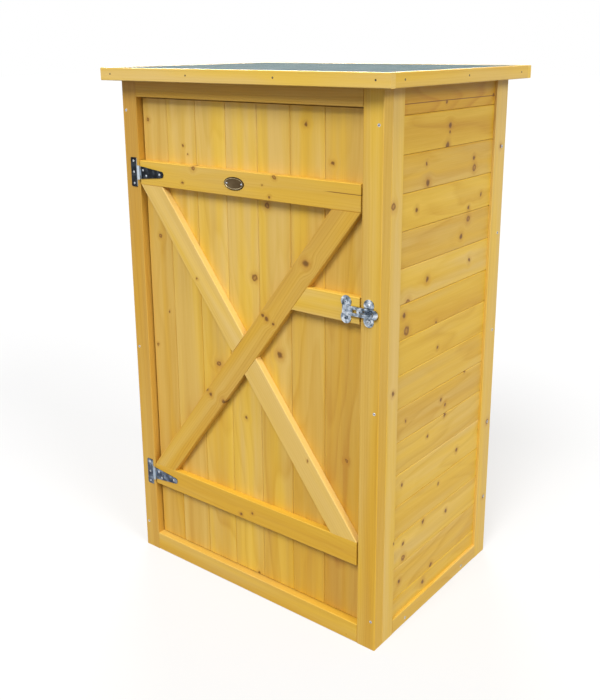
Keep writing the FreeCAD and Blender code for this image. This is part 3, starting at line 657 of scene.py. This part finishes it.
def dress_frames():
    """Stiles, rails, fascia and the bars inside."""
    dress(wood("uprights", Z, X, tone=0.42, figure=0.5, shade_lean=0.14), "front_right_stile", "back_left_stile",
          "back_right_stile", "left_wall_front_stile", "left_wall_back_stile")
    dress(wood("left_upright", Z, X, tone=0.54, figure=0.6, gold=0.3), "front_left_stile")
    dress(wood("right_posts", Z, Y, knots=POST_KNOTS, tone=0.24, figure=0.5, shade_lean=0.14),
          "right_wall_front_stile", "right_wall_back_stile")
    dress(wood("cross_rails", X, Z, stray=True, tone=0.4, figure=0.6), "front_bottom_rail", "back_top_rail",
          "back_bottom_rail")
    # The front top rail is darker and browner than the other rails: painted shadow of the fascia above it.
    dress(wood("top_rail", X, Z, tone=0.52, figure=0.6, gold=0.3), "front_top_rail")
    # The fascia boards are given a pale tone: painted light, making up for the light that the front fascia
    # lacks.
    dress(wood("painted_light_fascia", X, Z, tone=0.08, figure=0.4), "fascia_front", "fascia_back")
    dress(wood("side_rails", Y, Z, figure=0.5), "fascia_left", "fascia_right", "left_wall_bottom_rail",
          "right_wall_bottom_rail", "roof_batten_left", "roof_batten_right")
    dress(wood("inner_bars", X, Z, tone=0.34), "floor_bearer_front", "floor_bearer_back", "door_stop_top")
    dress(wood("inner_upright", Z, X, tone=0.34), "door_stop_side")


def felt():
    """Roofing felt with mineral granules, faintly streaked along the roll."""
    finish = Finish("felt")
    place = finish.place()
    grains = finish.node("ShaderNodeTexVoronoi")
    finish.fill(grains, Vector=place, Scale=GRANULE_SCALE)
    tone, height, _ = finish.split(grains.outputs["Color"])
    roll = finish.stretched((finish.dot(place, X), finish.dot(place, Y)), STREAK_SCALES)
    streaks = finish.noise(roll, 1.0, FELT_DETAIL)["Fac"]
    patches = finish.noise(place, PATCH_SCALE, FELT_DETAIL)["Fac"]
    shade = finish.total(finish.scaled(tone, GRANULE_WEIGHT), finish.scaled(streaks, STREAK_WEIGHT, 0.5),
                         finish.scaled(patches, PATCH_WEIGHT, 0.5), FELT_BASE_TONE)
    finish.set(Base_Color=finish.tones(shade, FELT_TONES), Roughness=FELT_ROUGHNESS,
               Specular_IOR_Level=FELT_GLOSS)
    finish.bump(finish.total(finish.scaled(grains.outputs["Distance"], -1.0), height), FELT_RELIEF)
    return finish.material


def metal(name, highlight=None):
    """Plated steel: tone and gloss vary from place to place. The optional colour is a painted highlight, a
    bright band along the hinge pins.
    """
    tones, roughness, scale = METALS[name]
    finish = Finish(name)
    place = finish.place()
    parts = [finish.dot(place, axis) for axis in (X, Y, Z)]
    cloud = finish.noise(place, scale, CLOUD_DETAIL)["Fac"]
    scratch = finish.noise(finish.stretched(parts, SCRATCH_SCALES))["Fac"]
    tint = finish.tones(cloud, zip(METAL_STOPS, tones))
    # Painted highlight: a bright band along the hinge pin, where light catches the barrel.
    if highlight:
        pin = sum(corner.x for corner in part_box("hinge_pins")) / 2
        off = finish.maths("ABSOLUTE", finish.maths("SUBTRACT", parts[0], pin + (HIGHLIGHT_FROM + HIGHLIGHT_TO) / 2))
        edge = (HIGHLIGHT_TO - HIGHLIGHT_FROM) / 2
        tint = finish.mix(finish.smooth(off, edge, edge - HIGHLIGHT_FADE), tint, colour(highlight))
    uneven = finish.total(finish.scaled(cloud, CLOUD_ROUGHNESS, 0.5),
                          finish.scaled(scratch, SCRATCH_ROUGHNESS, 0.5), roughness)
    finish.set(Base_Color=tint, Metallic=1.0, Roughness=uneven)
    finish.bump(finish.total(scratch, finish.scaled(cloud, CLOUD_RELIEF)), METAL_RELIEF)
    return finish.material


def new_piece(name, mesh_maker, body, slot, *materials):
    """A mesh object from a function that fills a bmesh, riding on a body."""
    made = bmesh.new()
    mesh_maker(made)
    bmesh.ops.recalc_face_normals(made, faces=made.faces)
    mesh = bpy.data.meshes.new(name)
    made.to_mesh(mesh)
    made.free()
    for material in materials:
        mesh.materials.append(material)
    piece = bpy.data.objects.new(name, mesh)
    bpy.context.scene.collection.objects.link(piece)
    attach(piece, body)
    return piece


def round_rings(rings, across, up):
    """Rings of radius and height, each in its own unit, as half length, half width and height."""
    return [(radius * across, radius * across, height * up) for radius, height in rings]


def raised(made, matrix, rings, segments=SCREW_SEGMENTS):
    """Ovals above one another from the rim to the top, with faces between them."""
    loops = []
    for half_length, half_width, height in rings:
        angles = [2 * math.pi * k / segments for k in range(segments)]
        loops.append([made.verts.new(matrix @ Vector((
            half_length * math.cos(angle), half_width * math.sin(angle), height))) for angle in angles])
    for low, high in zip(loops, loops[1:]):
        bridge(made, low, high)
    return loops


def bridge(made, low, high):
    for k in range(len(low)):
        made.faces.new((low[k - 1], low[k], high[k], high[k - 1]))


def cross_points(arm, half, height):
    """Outline of a cross recess, anticlockwise from the right arm."""
    quarter = [(arm, -half), (arm, half), (half, half)]
    points = []
    for turn in range(4):
        c, s = round(math.cos(turn * math.pi / 2)), round(math.sin(turn * math.pi / 2))
        points += [Vector((c * x - s * y, s * x + c * y, height)) for x, y in quarter]
    return points


def screw_head(made, matrix, rings, cross, depth):
    """A screw head with a cross recess, whose arm and half width are given. The last ring bounds the top."""
    loops = raised(made, matrix, rings)
    top = rings[-1][2]
    arm, half = cross
    mouth = [made.verts.new(matrix @ p) for p in cross_points(arm, half, top)]
    bottom = [made.verts.new(matrix @ p) for p in cross_points(
        arm * CROSS_TAPER[0], half * CROSS_TAPER[1], top - depth)]
    bridge(made, mouth, bottom)
    made.faces.new(bottom)
    paint(bottom, 1)
    edges = [made.edges.get((outline[k - 1], outline[k])) for outline in (mouth, loops[-1])
             for k in range(len(outline))]
    bmesh.ops.triangle_fill(made, edges=edges, use_beauty=True)


def paint(verts, index):
    """Gives the faces round some vertices the material of that index."""
    for vert in verts:
        for face in vert.link_faces:
            face.material_index = index


def facing(place, outward, turn=0.0):
    """A matrix that puts a head at a place, with its top outward and its cross turned."""
    tilt = outward.to_track_quat("Z", "Y").to_matrix().to_4x4()
    return Matrix.Translation(place) @ tilt @ Matrix.Rotation(turn, 4, "Z")


def screws(node, body, outward, domed, *materials):
    """Screw heads in place of a CAD node's plain ones. Along X they face outward on both sides."""
    def fill(made):
        for count, (low, high) in enumerate(solids_of(node)):
            centre = (low + high) / 2
            side = outward if outward.y else X * math.copysign(1.0, centre.x)
            front = high if max(side) > 0 else low
            place = Vector([front[i] if side[i] else centre[i] for i in range(3)])
            radius = (high.z - low.z) / 2
            if domed:
                height = DOME_HEIGHT * radius
                place -= side * height
                rings = round_rings(DOME_RINGS, radius, height)
                cross, depth = DOME_CROSS, DOME_CROSS_DEPTH * height
            else:
                rings = round_rings(FLAT_RINGS, radius, MM)
                cross, depth = FLAT_CROSS, FLAT_CROSS_DEPTH
            matrix = facing(place, side, SCREW_TURN * count)
            screw_head(made, matrix, rings, [share * radius for share in cross], depth)

    piece = new_piece(node + "_heads", fill, body, "fasteners", *materials)
    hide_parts(node)


def fascia_nails(material):
    """Small nail heads in the fascia, flush with its faces."""
    rings = round_rings(NAIL_RINGS, NAIL_RADIUS, MM)

    def fill(made):
        for node, outward, count in FASCIA_NAILS:
            low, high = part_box(node)
            run = X if outward.y else Y
            face = high if max(outward) > 0 else low
            start = low.dot(run) + FASCIA_NAIL_ENDS
            step = (high.dot(run) - low.dot(run) - 2 * FASCIA_NAIL_ENDS) / (count - 1)
            for k in range(count):
                place = run * (start + k * step) + outward * outward.dot(face)
                place.z = low.z + FASCIA_NAIL_RISE
                made.faces.new(raised(made, facing(place, outward), rings, NAIL_SEGMENTS)[-1])

    new_piece("fascia_nail_heads", fill, "cabinet", "fasteners", material)


def door_back_screws(*materials):
    """Screws through the door boards into the ledges, seen when the door stands open."""
    boards = solids_of("door_boards")
    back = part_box("door_boards")[1].y
    rings = round_rings(DOOR_SCREW_RINGS, MM, MM)

    def fill(made):
        count = 0
        for low, high in boards:
            for ledge in ("upper_ledge", "lower_ledge"):
                level = sum(corner.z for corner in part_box(ledge)) / 2
                for side in (-0.5, 0.5):
                    count += 1
                    across = (low.x + high.x) / 2 + side * DOOR_SCREWS_APART
                    place = Vector((across, back, level - side * DOOR_SCREWS_RISE))
                    matrix = facing(place, Y, DOOR_SCREW_TURN * count)
                    screw_head(made, matrix, rings, DOOR_SCREW_CROSS, DOOR_SCREW_CROSS_DEPTH)

    new_piece("door_back_screw_heads", fill, "door", "fasteners", *materials)


def oval_badge(rim_metal, field_metal, line_metal, pin_metal):
    """The blank oval plate: a raised rim with a bright inner line, a plain field and two pins."""
    low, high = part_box("oval_plate")
    centre = (low + high) / 2
    half_length, half_width = (high.x - low.x) / 2, (high.z - low.z) / 2
    thickness = high.y - low.y
    field = thickness - OVAL_FIELD_DEPTH
    matrix = facing(Vector((centre.x, high.y, centre.z)), -Y)

    def fill(made):
        steps = (
            (0.0, 0.0), (0.0, thickness * OVAL_EDGE), (OVAL_ROUNDING, thickness),
            (OVAL_RIM - OVAL_ROUNDING, thickness), (OVAL_RIM, field), (OVAL_RIM + OVAL_LINE, field),
            (OVAL_RIM + OVAL_LINE + OVAL_FIELD_BORDER, field))
        loops = raised(made, matrix, [
            (half_length - inset, half_width - inset, height) for inset, height in steps], OVAL_SEGMENTS)
        made.faces.new(loops[-1])
        paint(loops[-3], 2)
        paint(loops[-1], 1)

    def fill_pins(made):
        for side in (-1, 1):
            place = Matrix.Translation((side * (half_length - OVAL_RIM - OVAL_PIN_INSET), 0, field))
            made.faces.new(raised(made, matrix @ place, round_rings(PIN_RINGS, MM, MM), PIN_SEGMENTS)[-1])

    plate = new_piece("oval_plate_blank", fill, "door", "dark_bronze", rim_metal, field_metal, line_metal)
    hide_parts("oval_plate")
    new_piece("oval_plate_pins", fill_pins, "door", "fasteners", pin_metal)


def fittings():
    """Everything of metal: the CAD nodes that stay, and the heads and the plate that are drawn here."""
    bright, screw, recess = metal("bright_zinc"), metal("screw_zinc"), metal("screw_recess")
    dress(metal("dark_zinc", UPPER_HINGE_HIGHLIGHT), "upper_hinge_strap", "upper_hinge_plate")
    dress(metal("blue_zinc", LOWER_HINGE_HIGHLIGHT), "lower_hinge_strap", "lower_hinge_plate")
    dress(bright, "hinge_pins", "hasp_plate", "hasp_arm", "hasp_pin", "staple_plate", "turn_staple")
    screws("front_frame_screws", "cabinet", -Y, False, screw, recess)
    screws("back_frame_screws", "cabinet", X, False, screw, recess)
    screws("floor_screws", "cabinet", X, False, screw, recess)
    screws("hinge_plate_screws", "cabinet", -Y, True, screw, recess)
    screws("staple_plate_screws", "cabinet", -Y, True, bright, recess)
    screws("hinge_strap_screws", "door", -Y, True, screw, recess)
    screws("hasp_plate_screws", "door", -Y, True, bright, recess)
    fascia_nails(metal("nail_steel"))
    door_back_screws(screw, recess)
    oval_badge(metal("dark_bronze"), metal("worn_bronze"), metal("bright_bronze"), screw)


def background_rays(graph):
    """1 for rays that see the background itself or its image in metal, 0 for rays that light the object."""
    rays = graph.node("ShaderNodeLightPath").outputs
    seen = graph.maths("MAXIMUM", rays["Is Camera Ray"], rays["Is Glossy Ray"])
    return graph.maths("MAXIMUM", seen, rays["Is Transmission Ray"])


def floor():
    """A pale floor that looks white to the camera and keeps the shadow."""
    mesh = bpy.data.meshes.new("floor")
    corners = [(x * FLOOR_REACH, y * FLOOR_REACH, 0) for x, y in ((-1, -1), (1, -1), (1, 1), (-1, 1))]
    mesh.from_pydata(corners, [], [(0, 1, 2, 3)])
    made = bpy.data.objects.new("floor", mesh)
    bpy.context.scene.collection.objects.link(made)
    finish = Finish("pale_floor")
    seen = background_rays(finish)
    finish.set(Base_Color=finish.mix(seen, FLOOR_BOUNCE, FLOOR_SEEN), Roughness=1.0, Specular_IOR_Level=0.0,
               Emission_Color=WHITE, Emission_Strength=finish.scaled(seen, FLOOR_GLOW))
    mesh.materials.append(finish.material)


def sky():
    """An even sky that is plain white where it is seen and weaker where it lights the object."""
    world = bpy.data.worlds.new("sky")
    bpy.context.scene.world = world
    world.use_nodes = True
    graph = Graph(world.node_tree)
    strength = graph.maths("MULTIPLY_ADD", background_rays(graph), 1 - SKY_STRENGTH, SKY_STRENGTH)
    graph.fill(world.node_tree.nodes["Background"], Color=WHITE, Strength=strength)


def sun(name, origin, strength):
    """A soft sun that shines from a place towards the origin."""
    light = bpy.data.lights.new(name, "SUN")
    light.energy = strength
    light.angle = math.radians(SUN_SPREAD)
    made = bpy.data.objects.new(name, light)
    made.location = origin
    made.rotation_euler = (-Vector(origin)).to_track_quat("-Z", "Y").to_euler()
    bpy.context.scene.collection.objects.link(made)


def camera():
    """The photograph's camera. The shift is as large as its framing needs."""
    data = bpy.data.cameras.new("camera")
    data.lens = FOCAL_PIXELS / PHOTO_HEIGHT * data.sensor_width
    data.shift_y = (AXIS_PIXEL_Y - PHOTO_HEIGHT / 2) / PHOTO_HEIGHT
    made = bpy.data.objects.new("camera", data)
    turn = Matrix.Rotation(math.radians(CAMERA_AZIMUTH), 4, "Z")
    turn @= Matrix.Rotation(math.radians(CAMERA_PITCH), 4, "X")
    turn @= Matrix.Rotation(math.radians(CAMERA_ROLL), 4, "Y")
    turn @= Matrix.Rotation(math.radians(90), 4, "X")
    made.matrix_world = Matrix.Translation(CAMERA_PLACE) @ turn
    bpy.context.scene.collection.objects.link(made)
    bpy.context.scene.camera = made


dress_boards()
dress_door_bars()
dress_frames()
dress(felt(), "roof_felt")
fittings()
floor()
sky()
for lamp in SUNS:
    sun(*lamp)
camera()
bpy.context.scene.view_settings.view_transform = "Standard"
